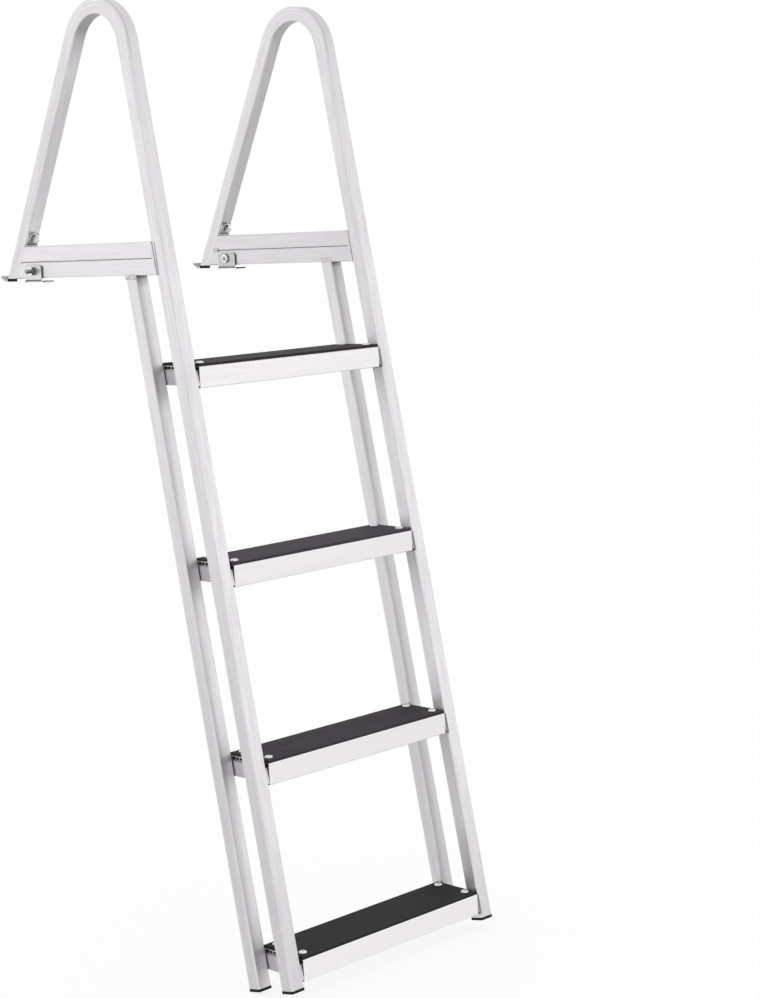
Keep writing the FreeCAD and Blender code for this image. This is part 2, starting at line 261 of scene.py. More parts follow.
# Where the faces of a tube lie across the length map
FLAT = TUBE - 2 * TUBE_CORNER
ARC = math.pi / 2 * TUBE_CORNER
FACE_EDGE = 1.2
OUTER_FACE = (ARC, ARC + FLAT)
NEAR_FACE = (2 * ARC + FLAT, 2 * ARC + 2 * FLAT)
INNER_FACE = (3 * ARC + 2 * FLAT, 3 * ARC + 3 * FLAT)
GAP_FACE = (1.10 * ARC + FLAT, 2 * ARC + 2 * FLAT)


def shade_face(material, face, low, high, along, across=None, weight=None):
    """Paints shade and light onto one face of a tube from low to high along it, by grey stops
    along and across.

    Low and high are in millimetres. A weight, given as stops along the same length, says how
    far the shading counts there.
    """
    tree, shader, colour = base_colour(material)
    parts = split(tree, "length")
    place = between(tree, parts["Y"], (face[0] - FACE_EDGE) * MM, (face[1] + FACE_EDGE) * MM)
    where = ramp(tree, place, [(0.0, 0.0), (0.06, 1.0), (0.94, 1.0), (1.0, 0.0)])
    length = between(tree, parts["X"], low * MM, high * MM)
    tone = ramp(tree, length, along)
    if across:
        tone = multiplied(tree, tone, ramp(tree, place, across))
    if weight:
        where = multiplied(tree, where, ramp(tree, length, weight))
    shaded = multiplied(tree, colour, tone)
    tree.links.new(mixed(tree, where, colour, shaded), shader.inputs["Base Color"])


def shade_by(material, source, part, low, high, stops):
    """Multiplies the colour by grey stops along one part of a coordinate."""
    tree, shader, colour = base_colour(material)
    tone = ramp(tree, between(tree, split(tree, source)[part], low, high), stops)
    tree.links.new(multiplied(tree, colour, tone), shader.inputs["Base Color"])


# Tube materials, with the length map's starts that keep the streaks of the tubes apart
TUBE_FINE = (13, 260, 1)
TUBE_BROAD = (5, 60, 1)
TUBE_TONES = ((0.775, 0.755, 0.775), (0.680, 0.660, 0.680))
TUBE_ROUGHNESS = 0.42
REAR_POST_START = 2000.0
REAR_POST_RUN = 1110.0
ARM_START = 4000.0
ARM_SHIFT = 700.0


def make_tube_metal(name, colour, dark):
    """Brushed aluminium whose streaks follow the tube round its bend."""
    return brushed(name, "length", TUBE_FINE, TUBE_BROAD, colour, dark, TUBE_ROUGHNESS)


# each side gets its own copy of these materials, so that painted light and shade can differ
# between the sides
rail_metal = {side: make_tube_metal(side + "_rail_aluminium", *TUBE_TONES) for side in SIDES}
post_metal = {side: make_tube_metal(side + "_post_aluminium", *TUBE_TONES) for side in SIDES}
# the right arm's copy is darker: painted shade
arm_metal = {"left": make_tube_metal("left_arm_aluminium", (0.79, 0.77, 0.79),
                                     (0.75, 0.73, 0.75)),
             "right": make_tube_metal("right_arm_aluminium", (0.73, 0.71, 0.73),
                                      (0.69, 0.67, 0.69))}


def rail_length(z):
    """Length along a post's middle from its foot to a level."""
    return (z - FOOT_LEVEL + TUBE / 2 * math.sin(POST_LEAN)) / math.cos(POST_LEAN)


def shade_hoops():
    """Painted shade in the bends, and painted light and shade down the legs."""
    run, turn = hoop()[2:]
    bend_end = run + BEND_RADIUS * turn
    low, high = run + 0.25 * BEND_RADIUS * turn, bend_end + 90
    shade_face(rail_metal["left"], INNER_FACE, low, high,
               [(0.0, 1.0), (0.22, 0.50), (0.45, 0.53), (0.68, 0.78), (0.85, 1.0)])
    shade_face(rail_metal["right"], INNER_FACE, low, high,
               [(0.0, 1.0), (0.22, 0.62), (0.45, 0.60), (0.68, 0.68), (1.0, 0.73)])
    for side in SIDES:
        shade_face(rail_metal[side], OUTER_FACE, run - 40, bend_end,
                   [(0.0, 1.0), (0.4, 0.93), (0.55, 0.88), (0.8, 0.92), (1.0, 1.0)])
        # painted shade of a crease beside the near edge of the bend
        shade_face(rail_metal[side], OUTER_FACE, run - 70, bend_end - 40,
                   [(0.0, 1.0), (1.0, 1.0)],
                   [(0.0, 1.0), (0.66, 1.0), (0.78, 0.90), (0.90, 0.86), (0.97, 1.0)],
                   [(0.0, 0.0), (0.3, 1.0), (0.85, 1.0), (1.0, 0.0)])
    # painted light: the left leg grows lighter towards the dock, and its near face gets a little
    # painted shade
    shade_face(rail_metal["left"], INNER_FACE, bend_end - 20, bend_end + 430,
               [(0.0, 1.0), (0.30, 1.03), (0.45, 1.17), (1.0, 1.23)])
    shade_face(rail_metal["left"], NEAR_FACE, bend_end - 20, bend_end + 60,
               [(0.0, 1.0), (1.0, 0.955)])


def shade_posts():
    """Painted shade that grows towards the water, and painted shade and light beside each step.
    """
    left, right = rail_metal["left"], rail_metal["right"]
    foot_end = rail_length(FOOT_LEVEL)
    top_end = rail_length(-200)
    fade = [(0.0, 0.89), (0.25, 0.88), (0.45, 0.92), (0.65, 0.97), (1.0, 1.02)]
    shade_face(left, OUTER_FACE, foot_end, rail_length(-880),
               [(0.0, 0.90), (0.55, 0.94), (1.0, 1.0)])
    shade_face(right, OUTER_FACE, foot_end, rail_length(0),
               [(0.0, 0.90), (0.11, 0.94), (0.24, 1.0), (0.40, 0.98), (0.55, 0.955),
                (1.0, 0.965)])
    shade_face(left, NEAR_FACE, foot_end, top_end, fade)
    for side in SIDES:
        shade_face(post_metal[side], NEAR_FACE, REAR_POST_START + foot_end,
                   REAR_POST_START + top_end, fade)
    # painted shade on the right front post beside the upper three steps, from 180 below each to
    # its top
    for top, far, middle, soft, near in zip(STEP_TOPS, (1.0, 0.98, 0.85), (0.96, 0.88, 0.80),
                                            (0.83, 0.74, 0.73), (0.65, 0.58, 0.66)):
        shade_face(right, NEAR_FACE, rail_length(top - 180), rail_length(top),
                   [(0.0, far), (0.35, middle), (0.6, soft), (0.77, near), (0.82, near),
                    (0.97, 1.0)])
    # and painted light over them, where less of the dark mat is mirrored than on bare metal
    for top, light, reach in zip(STEP_TOPS, (1.12, 1.32, 1.32), (40, 44, 44)):
        shade_face(right, NEAR_FACE, rail_length(top), rail_length(top + reach),
                   [(0.0, light), (0.5, light), (1.0, 1.0)], None,
                   [(0.0, 0.0), (0.04, 1.0), (1.0, 1.0)])
    # painted shade and light on the same post beside and over the lowest step
    shade_face(right, NEAR_FACE, rail_length(-1075), rail_length(-940),
               [(0.0, 1.18), (0.10, 1.18), (0.14, 1.55), (0.28, 1.52), (0.42, 0.98),
                (0.52, 0.87), (0.74, 0.87), (1.0, 1.0)])
    # painted shade in the gap between the steps' right ends and the post
    for top in STEP_TOPS:
        shade_face(right, GAP_FACE, rail_length(top - 38), rail_length(top - 2),
                   [(0.0, 0.42), (0.3, 0.34), (1.0, 0.34)], None,
                   [(0.0, 0.0), (0.05, 1.0), (0.9, 1.0), (1.0, 0.0)])
    # painted shade on the rear posts' water side, darker towards the near edge and under the arm
    across = [(0.0, 1.0), (0.3, 0.98), (0.6, 0.88), (0.85, 0.75), (1.0, 0.68)]
    post_end = REAR_POST_START + REAR_POST_RUN
    shade_face(post_metal["left"], OUTER_FACE, post_end - 130, post_end,
               [(0.0, 1.0), (0.85, 1.0), (0.965, 0.62), (0.975, 0.40)], across)
    shade_face(post_metal["right"], OUTER_FACE, REAR_POST_START, post_end,
               [(0.0, 0.79), (0.96, 0.79), (0.992, 0.68), (0.997, 0.45)], across)


shade_hoops()
shade_posts()

# Metals on the object's own place: streak and cloud scales, then light and dark tone
PLATE = ("Object", (60, 12, 300), (25, 25, 25))
PLATE_TONES = ((0.74, 0.725, 0.74), (0.67, 0.655, 0.67))
STEEL = ("Object", (400, 400, 400), (90, 90, 90))
GROOVE = ("Object", (300, 300, 300), (90, 90, 90))
step_metal = brushed("step_aluminium", "Object", (6, 500, 500), (4, 30, 30),
                     (0.860, 0.840, 0.855), (0.828, 0.808, 0.823), 0.40, reach=0.008, floor=0.25)
plate_metal = brushed("plate_aluminium", *PLATE, *PLATE_TONES, 0.40, reach=0.010, floor=0.25)
far_plate_metal = brushed("shaded_plate_aluminium", *PLATE, *PLATE_TONES, 0.40)
end_plate_metal = brushed("end_plate_aluminium", *PLATE, (0.76, 0.745, 0.76),
                          (0.69, 0.675, 0.69), 0.42, reach=0.002, floor=0.6)
# the right dock bracket's copy is darker: painted shade
bracket_metal = {"left": brushed("left_dock_aluminium", *PLATE, *PLATE_TONES, 0.40),
                 "right": brushed("right_dock_aluminium", *PLATE, (0.61, 0.60, 0.61),
                                  (0.54, 0.53, 0.54), 0.40)}
# dark strips that paint the shade in the joints at the end plates, darker on the left
groove_shade_metal = {"left": brushed("left_groove_shade", *GROOVE, (0.34, 0.335, 0.34),
                                (0.20, 0.195, 0.20), 0.5),
                "right": brushed("right_groove_shade", *GROOVE, (0.55, 0.54, 0.55),
                                 (0.42, 0.41, 0.42), 0.5)}
# zinc-plated steel, its tone partly painted shade for its place in the corner
shaded_zinc_plate = brushed("shaded_zinc_plate", "Object", (90, 90, 90), (40, 40, 40), (0.60, 0.60, 0.61),
                     (0.46, 0.46, 0.47), 0.38, reach=0.008, floor=0.5)
bolt_metal = brushed("bolt_steel", *STEEL, (0.95, 0.95, 0.96), (0.84, 0.84, 0.85), 0.25,
                     reach=0.003, floor=0.55)
# dark steel that paints the shade on bolt flanks, washers and screw recesses
flank_shade_steel = brushed("bolt_flank_shade_steel", *STEEL, (0.20, 0.20, 0.21), (0.10, 0.10, 0.105), 0.30)
screw_metal = brushed("screw_steel", *STEEL, (0.86, 0.86, 0.87), (0.74, 0.74, 0.75), 0.20)
thread_metal = brushed("thread_steel", "Object", (700, 700, 700), (150, 150, 150),
                       (0.75, 0.75, 0.76), (0.35, 0.35, 0.36), 0.30)


def paint_bracket_shade_and_stains(material, water_edge_shade):
    """Painted shade on the edges that face the water, painted highlight on the lower edges with a
    painted shade line at the fold, and stains on the tip.
    """
    tree, shader, colour = base_colour(material)
    normal = split(tree, "Normal")
    spot = split(tree, "Object")
    # lower edges on the near side get painted light above a painted shade line at the fold, and
    # behind the tab painted light only
    side_on = ramp(tree, between(tree, normal["X"], -1.0, 0.0),
                   [(0.0, 1.0), (0.72, 1.0), (0.9, 0.0)])
    level = between(tree, spot["Z"], 0.0, 0.010)
    fold_shade = ramp(tree, level, [(0.0, 0.95), (0.16, 0.90), (0.23, 0.14), (0.44, 0.16),
                                (0.56, 0.72)])
    painted_highlight = ramp(tree, level, [(0.0, 0.58), (0.06, 0.98), (1.0, 0.98)])
    low_part = ramp(tree, level, [(0.0, 1.0), (0.52, 1.0), (0.60, 0.0)])
    behind_tab = ramp(tree, between(tree, spot["Y"], (TAB_HALF - 1.2) * MM,
                                    (TAB_HALF - 0.2) * MM), [(0.0, 0.0), (1.0, 1.0)])
    low_part = mixed(tree, 1.0, low_part, behind_tab, "SCREEN")
    lower = mixed(tree, behind_tab, fold_shade, painted_highlight)
    colour = mixed(tree, multiplied(tree, side_on, low_part), colour, lower)
    # painted shade on the edges that face the water
    water = ramp(tree, between(tree, normal["Y"], -1.0, -0.5),
                 [(0.0, 1.0), (0.4, 1.0), (1.0, 0.0)])
    edge = ramp(tree, level, [(0.0, water_edge_shade), (0.25, water_edge_shade), (0.28, 0.95), (0.55, 0.95),
                              (0.65, 0.12)])
    colour = mixed(tree, water, colour, edge)
    # stains on the tip
    stain = ramp(tree, stretched(tree, "Object", (260, 260, 260), 4, 0.7),
                 [(0.40, 0.42), (0.62, 0.85)])
    tip = ramp(tree, between(tree, spot["Y"], (PLATE_REAR - 2) * MM, (PLATE_REAR + 10) * MM),
               [(0.0, 0.0), (0.6, 1.0)])
    colour = mixed(tree, tip, colour, multiplied(tree, colour, stain))
    tree.links.new(colour, shader.inputs["Base Color"])


paint_bracket_shade_and_stains(bracket_metal["left"], 0.30)
paint_bracket_shade_and_stains(bracket_metal["right"], 0.06)
# treads lose light towards the far side and gain it towards the water
shade_by(step_metal, "Object", "X", 0.050, 0.380, [(0.0, 1.0), (1.0, 0.96)])
shade_by(step_metal, "Object", "Z", -1.1, -0.4,
         [(0.0, 1.065), (0.15, 1.065), (0.45, 1.01), (0.75, 0.99), (0.90, 0.965)])
# the far side of plates and the underside of threads see little light
shade_by(far_plate_metal, "Normal", "X", -1.0, 1.0,
         [(0.0, 0.28), (0.25, 0.28), (0.35, 0.55), (0.65, 0.55), (0.75, 1.0)])
shade_by(thread_metal, "Normal", "Z", -1.0, 1.0, [(0.0, 0.25), (0.40, 0.35), (0.60, 1.0)])
# painted light: the corner brackets grow lighter upwards
shade_by(shaded_zinc_plate, "Object", "Z", ARM_TOP * MM, (ARM_TOP + 20) * MM,
         [(0.0, 0.85), (0.30, 0.90), (0.50, 1.25), (0.75, 1.5)])


def make_weld_metal(name, low):
    """Mottled metal of a bead, with low as its darkest tone."""
    material, tree, shader = new_material(name)
    spots = stretched(tree, "Object", (420, 420, 420), 3, 0.6)
    tone = ramp(tree, spots, [(0.36, low), (0.56, (0.80, 0.78, 0.80))])
    # painted shade in the corners round the bead
    tree.links.new(painted_corner_shade(tree, tone, 0.004, 0.25), shader.inputs["Base Color"])
    add_bump(tree, shader, spots, 0.25, 0.0003)
    shader.inputs["Metallic"].default_value = 1.0
    shader.inputs["Roughness"].default_value = 0.34
    return material


def make_rubber():
    """Grained black rubber with faint dust along the step."""
    material, tree, shader = new_material("mat_rubber")
    grain = stretched(tree, "Object", (900, 900, 900), 3, 0.65)
    dust = stretched(tree, "Object", (5, 140, 22), 3, 0.6)
    fine_tone = ramp(tree, grain, [(0.3, (0.0134, 0.0097, 0.0134)),
                                   (0.7, (0.0226, 0.0164, 0.0226))])
    dust_tone = ramp(tree, dust, [(0.38, (0.0124, 0.0090, 0.0124)),
                                  (0.66, (0.0300, 0.0221, 0.0300))])
    tree.links.new(mixed(tree, 0.5, fine_tone, dust_tone), shader.inputs["Base Color"])
    add_bump(tree, shader, grain, 0.35, 0.0003)
    shader.inputs["Roughness"].default_value = 0.62
    shader.inputs["Specular IOR Level"].default_value = 0.25
    return material


def make_plastic():
    """Black moulded plastic with a fine grain."""
    material, tree, shader = new_material("cap_plastic_and_cell_shade")
    grain = stretched(tree, "Object", (700, 700, 700), 3, 0.6)
    tone = ramp(tree, grain, [(0.3, (0.005, 0.005, 0.0055)), (0.7, (0.010, 0.010, 0.011))])
    tree.links.new(tone, shader.inputs["Base Color"])
    add_bump(tree, shader, grain, 0.3, 0.0002)
    shader.inputs["Roughness"].default_value = 0.6
    shader.inputs["Specular IOR Level"].default_value = 0.15
    return material


weld_metal = make_weld_metal("weld_aluminium", 0.30)
seam_metal = make_weld_metal("seam_aluminium", 0.62)
# the black plastic also makes the blocks that paint the shade in the treads' cells
plastic_and_cell_shade = make_plastic()
rubber = make_rubber()
# painted sheen by level: the lowest mat is the darkest and the second from the top the palest
shade_by(rubber, "Object", "Z", -1.1, 0.0,
         [(0.0, 0.55), (0.05, 0.55), (0.31, 1.32), (0.59, 2.05), (0.87, 0.95)])


def finish_piece(name, shape, materials, replaced=()):
    """Turns a mesh into a named piece that rides on the ladder."""
    mesh = shape
    if isinstance(shape, bmesh.types.BMesh):
        bmesh.ops.recalc_face_normals(shape, faces=shape.faces)
        mesh = bpy.data.meshes.new(name)
        shape.to_mesh(mesh)
        shape.free()
    for material in materials:
        mesh.materials.append(material)
    piece = bpy.data.objects.new(name, mesh)
    bpy.context.scene.collection.objects.link(piece)
    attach(piece, "root")
    if replaced:
        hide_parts(*replaced)


# Square tubes
BEND_STEPS = 56
CORNER_SINK = 0.9
WALL_SWELL = 0.5
WELD_GAP = 0.2


def section(width, depth, radius, steps=6):
    """Points and outward directions round a rounded rectangle, centred on zero."""
    points = []
    for turn, (sa, sb) in enumerate(((1, 1), (-1, 1), (-1, -1), (1, -1))):
        for index in range(steps + 1):
            angle = math.pi / 2 * (turn + index / steps)
            points.append((sa * (width / 2 - radius) + radius * math.cos(angle),
                           sb * (depth / 2 - radius) + radius * math.sin(angle),
                           math.cos(angle), math.sin(angle)))
    return points


def ring(centre, across, up, profile):
    """A section set at centre: points and the directions they face."""
    return ([centre + across * a + up * b for a, b, c, d in profile],
            [across * c + up * d for a, b, c, d in profile])


def cut(profile_ring, axis, point, facing):
    """Slides a ring along axis onto the plane through point that faces facing."""
    points, normals = profile_ring
    return ([p + axis * ((point - p).dot(facing) / axis.dot(facing)) for p in points], normals)


def skin(name, rings, lengths, material, replaced):
    """A tube through rings, with exact shading and a length map in metres."""
    bm = bmesh.new()
    layer = bm.loops.layers.uv.new("length")
    rows = [[bm.verts.new(p * MM) for p in points] for points, facing in rings]
    normals = [n for points, facing in rings for n in facing]
    count = len(rows[0])
    around = [0.0]
    for index in range(count):
        step = rings[0][0][(index + 1) % count] - rings[0][0][index]
        around.append(around[-1] + step.length)
    for row in range(len(rows) - 1):
        for index in range(count):
            after = (index + 1) % count
            face = bm.faces.new((rows[row][index], rows[row][after],
                                 rows[row + 1][after], rows[row + 1][index]))
            face.smooth = True
            spots = ((row, index), (row, index + 1), (row + 1, index + 1), (row + 1, index))
            for loop, (r, i) in zip(face.loops, spots):
                loop[layer].uv = (lengths[r] * MM, around[i] * MM)
    # the ends have vertices of their own, so that their edges stay sharp
    for points, neighbour in ((rings[0][0], rings[1][0]), (rings[-1][0], rings[-2][0])):
        face = bm.faces.new([bm.verts.new(p * MM) for p in points])
        face.normal_update()
        facing = face.normal.copy()
        if facing.dot(points[0] - neighbour[0]) < 0:
            facing = -facing
        normals += [facing] * count
    bm.verts.index_update()
    for face in bm.faces:
        face.normal_update()
        if face.normal.dot(sum((normals[v.index] for v in face.verts), Vector())) < 0:
            face.normal_flip()
    mesh = bpy.data.meshes.new(name)
    bm.to_mesh(mesh)
    bm.free()
    mesh.normals_split_custom_set_from_vertices([tuple(n) for n in normals])
    finish_piece(name, mesh, [material], (replaced,))


def make_rail(side, x):
    """Front post, hoop and leg as one bent tube."""
    centre, foot, run, turn = hoop()
    centre = centre + RIGHT * x
    foot = foot + RIGHT * x
    plain = section(TUBE, TUBE, TUBE_CORNER)
    rings = []
    lengths = []
    for place in (0.0, run * 0.5, run - 30, run - 6):
        rings.append(ring(foot + POST_UP * place, RIGHT, -POST_IN, plain))
        lengths.append(place)
    for index in range(BEND_STEPS + 1):
        share = index / BEND_STEPS
        outward = Matrix.Rotation(-turn * share, 3, "X") @ (-POST_IN)
        squeeze = math.sin(math.pi * share) ** 0.5 if 0 < share < 1 else 0.0
        points, facing = ring(centre + outward * BEND_RADIUS, RIGHT, outward, plain)
        # outer corners sink and the inner wall swells a little in the bend
        for spot, (a, b, c, d) in enumerate(plain):
            edge = abs(a) / (TUBE / 2)
            if b > 0:
                points[spot] -= outward * (CORNER_SINK * squeeze * edge ** 6)
            else:
                points[spot] += outward * (WALL_SWELL * squeeze * (1 - edge ** 2))
        rings.append((points, facing))
        lengths.append(run + BEND_RADIUS * turn * share)
    middle = centre + outward * BEND_RADIUS
    for place in (6, 30):
        rings.append(ring(middle + LEG_DOWN * place, RIGHT, outward, plain))
        lengths.append(run + BEND_RADIUS * turn + place)
    rings.append(cut(ring(middle, RIGHT, outward, plain), LEG_DOWN, UP * ARM_BOTTOM, UP))
    lengths.append(run + BEND_RADIUS * turn + (rings[-1][0][0] - middle).length)
    skin(side + "_handrail_tube", rings, lengths, rail_metal[side], side + "_rail")


def make_rear_post(side, x):
    """Straight post that ends level under the lower arm."""
    foot = (Vector((x, post_front(FOOT_LEVEL), FOOT_LEVEL))
            + POST_IN * (REAR_POST_OFFSET * math.cos(POST_LEAN) + TUBE / 2))
    base = ring(foot, RIGHT, -POST_IN, section(TUBE, TUBE, TUBE_CORNER))
    rings = [base, cut(base, POST_UP, foot + POST_UP * 500, POST_UP),
             cut(base, POST_UP, UP * ARM_BOTTOM, UP)]
    lengths = [REAR_POST_START + run for run in (0, 500, REAR_POST_RUN)]
    skin(side + "_rear_post_tube", rings, lengths, post_metal[side], side + "_rear_post")


def make_arm(side, x, level):
    """One of the two arms between the end plate and the leg."""
    z = ARM_BOTTOM + (level + 0.5) * ARM_HEIGHT
    start = Vector((x, post_rear(z) + END_PLATE + WELD_GAP, z))
    end = Vector((x, leg_front(z) - WELD_GAP, z))
    base = ring(start, RIGHT, UP, section(TUBE, ARM_HEIGHT, ARM_CORNER))
    rings = [cut(base, TO_DOCK, start, POST_IN), cut(base, TO_DOCK, end, LEG_IN)]
    begin = ARM_START + ARM_SHIFT * level
    node = "%s_%s_arm" % (side, ("lower", "upper")[level])
    skin(node + "_tube", rings, [begin, begin + (end - start).length], arm_metal[side], node)


# Mats with rounded ribs along the step
MAT_RIBS = 22
MAT_BORDER = 3.0
MAT_GROOVE = 0.6
MAT_END_DROP = 0.45
MAT_RIM = ((0.0, 0.8), (0.3, 0.25), (0.9, 0.0))


def make_mat(step, top):
    """One mat; its rim is given as distances in from the edge and down from the top."""
    front = post_front(top) - STEP_OVERHANG + MAT_SETBACK
    pitch = (MAT_DEPTH - 2 * MAT_BORDER) / MAT_RIBS
    outline = [(0.0, 0.0)] + [(inset, MAT - drop) for inset, drop in MAT_RIM]
    outline.append((MAT_BORDER, MAT))
    for index in range(MAT_RIBS):
        low = MAT_BORDER + pitch * index
        outline += [(low + pitch * 0.10, MAT), (low + pitch * 0.18, MAT - MAT_GROOVE + 0.05),
                    (low + pitch * 0.42, MAT - MAT_GROOVE), (low + pitch * 0.50, MAT - 0.05)]
    outline.append((MAT_DEPTH - MAT_BORDER, MAT))
    outline += [(MAT_DEPTH - inset, MAT - drop) for inset, drop in reversed(MAT_RIM)]
    outline.append((MAT_DEPTH, 0.0))
    bm = bmesh.new()
    rows = []
    for place, drop in ((STEP_START, MAT_END_DROP), (STEP_START + 0.5, 0.0),
                        ((STEP_START + STEP_END) / 2, 0.0), (STEP_END - 0.5, 0.0),
                        (STEP_END, MAT_END_DROP)):
        rows.append([bm.verts.new(Vector((place, front + y, top + max(z - drop, 0.0))) * MM)
                     for y, z in outline])
    for first, second in zip(rows, rows[1:]):
        for index in range(len(outline) - 1):
            bm.faces.new((first[index], first[index + 1], second[index + 1], second[index]))
        bm.faces.new((first[-1], first[0], second[0], second[-1]))
    bm.faces.new(rows[0])
    bm.faces.new(reversed(rows[-1]))
    finish_piece("step_%d_rubber_mat" % step, bm, [rubber],
                 ("step_%d_mat" % step,))


# Turned and hexagonal fasteners
FLATS = 13.0
CORNER_FLATS = 12.6
NUT_HEIGHT = 5.5
HEAD_HEIGHT = 4.2
CORNER_HEAD_HEIGHT = 4.4
CORNER_NUT_HEIGHT = 6.2
WASHER = 0.8
CORNER_WASHER = 1.3
THREAD_RADIUS = 3.95
THREAD_PITCH = 1.25
THREAD_DEPTH = 0.62
THREAD_SINK = 0.8
CORNER_THREAD_START = 6.5


def turned(bm, profile, base, axis, steps=32):
    """Revolves (radius, height) pairs about axis from base, and closes the ends."""
    side = axis.orthogonal().normalized()
    other = axis.cross(side)
    rows = []
    for radius, height in profile:
        row = []
        for index in range(steps if radius else 1):
            angle = 2 * math.pi * index / steps
            row.append(bm.verts.new((base + axis * height + side * (radius * math.cos(angle))
                                     + other * (radius * math.sin(angle))) * MM))
        rows.append(row)
    for first, second in zip(rows, rows[1:]):
        for i in range(steps):
            j = (i + 1) % steps
            corners = []
            for vert in (first[i % len(first)], first[j % len(first)],
                         second[j % len(second)], second[i % len(second)]):
                if vert not in corners:
                    corners.append(vert)
            if len(corners) > 2:
                bm.faces.new(corners).smooth = True
    for row in (rows[0], rows[-1]):
        if len(row) > 1:
            bm.faces.new(row)


def hexagon(bm, base, axis, height, flats, turn):
    """A hexagonal nut or head with both rims chamfered."""
    side = RIGHT if abs(axis.x) < 0.5 else TO_DOCK
    side = (side - axis * side.dot(axis)).normalized()
    other = axis.cross(side)
    steps = 48
    rows = []
    for share, rim in ((0.0, 0.93), (0.09, 1.0), (0.91, 1.0), (1.0, 0.90)):
        row = []
        for index in range(steps):
            angle = 2 * math.pi * index / steps + turn
            local = (angle - turn + math.pi / 6) % (math.pi / 3) - math.pi / 6
            radius = min(flats / 2 / math.cos(local), flats / math.sqrt(3) * rim)
            row.append(bm.verts.new((base + axis * (height * share)
                                     + side * (radius * math.cos(angle))
                                     + other * (radius * math.sin(angle))) * MM))
        rows.append(row)
    for first, second in zip(rows, rows[1:]):
        for i in range(steps):
            j = (i + 1) % steps
            bm.faces.new((first[i], first[j], second[j], second[i]))
    bm.faces.new(reversed(rows[0]))
    bm.faces.new(rows[-1])


def threaded(bm, base, axis, length):
    """A threaded end: a true helix round a core, with a chamfered tip."""
    side = axis.orthogonal().normalized()
    other = axis.cross(side)
    steps = 24
    rows = []
    for index in range(int((length / THREAD_PITCH - 1) * steps) + 1):
        angle = 2 * math.pi * index / steps
        along = THREAD_PITCH * index / steps
        crest = THREAD_RADIUS - 0.9 * max(0.0, along + THREAD_PITCH / 2 - (length - 1.2))
        root = crest - THREAD_DEPTH
        spoke = side * math.cos(angle) + other * math.sin(angle)
        rows.append([bm.verts.new((base + axis * (along + THREAD_PITCH * share)
                                   + spoke * reach) * MM)
                     for share, reach in ((0, root), (0.45, crest), (0.55, crest), (0.98, root))])
    for first, second in zip(rows, rows[1:]):
        for i in range(4):
            j = (i + 1) % 4
            bm.faces.new((first[i], second[i], second[j], first[j])).smooth = i < 3
    for row in (rows[0], rows[-1]):
        bm.faces.new(row)
    core = THREAD_RADIUS - 0.60
    turned(bm, [(core, -0.3), (core, length - 0.3), (core - 0.2, length)], base, axis)


def flanks_shaded(bm, axis, only=None):
    """Gives the faces that look sideways from axis the second material, a dark steel that paints
    their shade.
    """
    for face in bm.faces:
        face.normal_update()
        sideways = not face.smooth and abs(face.normal.dot(axis)) < 0.8
        if sideways and (only is None or face.normal.dot(only) > 0.3):
            face.material_index = 1


def paint(bm, first, slot):
    """Gives the faces from number first on the material in a slot."""
    for face in list(bm.faces)[first:]:
        face.material_index = slot


def make_dock_bolt(side, x, outward):
    """Bolt, nut, washer and thread end through the tab and the lower arm."""
    z = ARM_BOTTOM + BOLT_HEIGHT
    axis = RIGHT * outward
    tab = Vector((x - TUBE / 2 - SIDE_CLEARANCE - SHEET, 0, z))
    arm = Vector((x + TUBE / 2, 0, z))
    start, end = (arm, tab) if outward < 0 else (tab, arm)
    head_end = WASHER + HEAD_HEIGHT
    bm = bmesh.new()
    turned(bm, [(7.9, 0.0), (8.1, 0.2), (8.1, 0.6), (7.9, WASHER), (0.0, WASHER)], start, -axis)
    # the washer takes the dark steel: painted shade round the head
    paint(bm, 0, 1)
    turned(bm, [(BOLT_RADIUS, 0.0), (BOLT_RADIUS, (end - start).length)], start, axis)
    hexagon(bm, start - axis * WASHER, -axis, HEAD_HEIGHT, FLATS, 0.25)
    first = len(bm.faces)
    turned(bm, [(4.4, head_end), (4.2, head_end + 0.3), (0.0, head_end + 0.35)], start, -axis)
    paint(bm, first, 2)
    hexagon(bm, end, axis, NUT_HEIGHT, FLATS, 0.45)
    first = len(bm.faces)
    thread_start = NUT_HEIGHT - THREAD_SINK
    threaded(bm, end + axis * thread_start, axis, BOLT_THREAD_END - thread_start)
    paint(bm, first, 2)
    if side == "left":
        bmesh.ops.recalc_face_normals(bm, faces=bm.faces)
        flanks_shaded(bm, axis)
    finish_piece(side + "_dock_bolt_set", bm, [bolt_metal, flank_shade_steel, thread_metal],
                 (side + "_dock_bolt",))


def make_corner_bolt(side, x):
    """Bolt, nut and washers through the leg and the corner bracket."""
    z = ARM_TOP + CORNER_BOLT_HEIGHT
    face = Vector((x, leg_front(z), z))
    axis = -LEG_IN
    back = face - axis * TUBE
    bm = bmesh.new()
    turned(bm, [(BOLT_RADIUS, 0.0), (BOLT_RADIUS, TUBE + SHEET)], back, axis)
    turned(bm, [(7.6, 0.0), (7.9, 0.2), (7.9, 0.9), (0.0, 1.0)], back, -axis)
    hexagon(bm, back - axis * 1.0, -axis, CORNER_HEAD_HEIGHT, CORNER_FLATS, 0.1)
    front = face + axis * SHEET
    turned(bm, [(7.6, 0.0), (7.9, 0.2), (7.9, 1.1), (7.5, CORNER_WASHER),
                (0.0, CORNER_WASHER)], front, axis)
    hexagon(bm, front + axis * CORNER_WASHER, axis, CORNER_NUT_HEIGHT, CORNER_FLATS, 0.2)
    threaded(bm, front + axis * CORNER_THREAD_START, axis,
             CORNER_THREAD_END - CORNER_THREAD_START)
    bmesh.ops.recalc_face_normals(bm, faces=bm.faces)
    flanks_shaded(bm, axis, -RIGHT)
    finish_piece(side + "_corner_bolt_set", bm, [bolt_metal, flank_shade_steel],
                 (side + "_corner_bolt",))


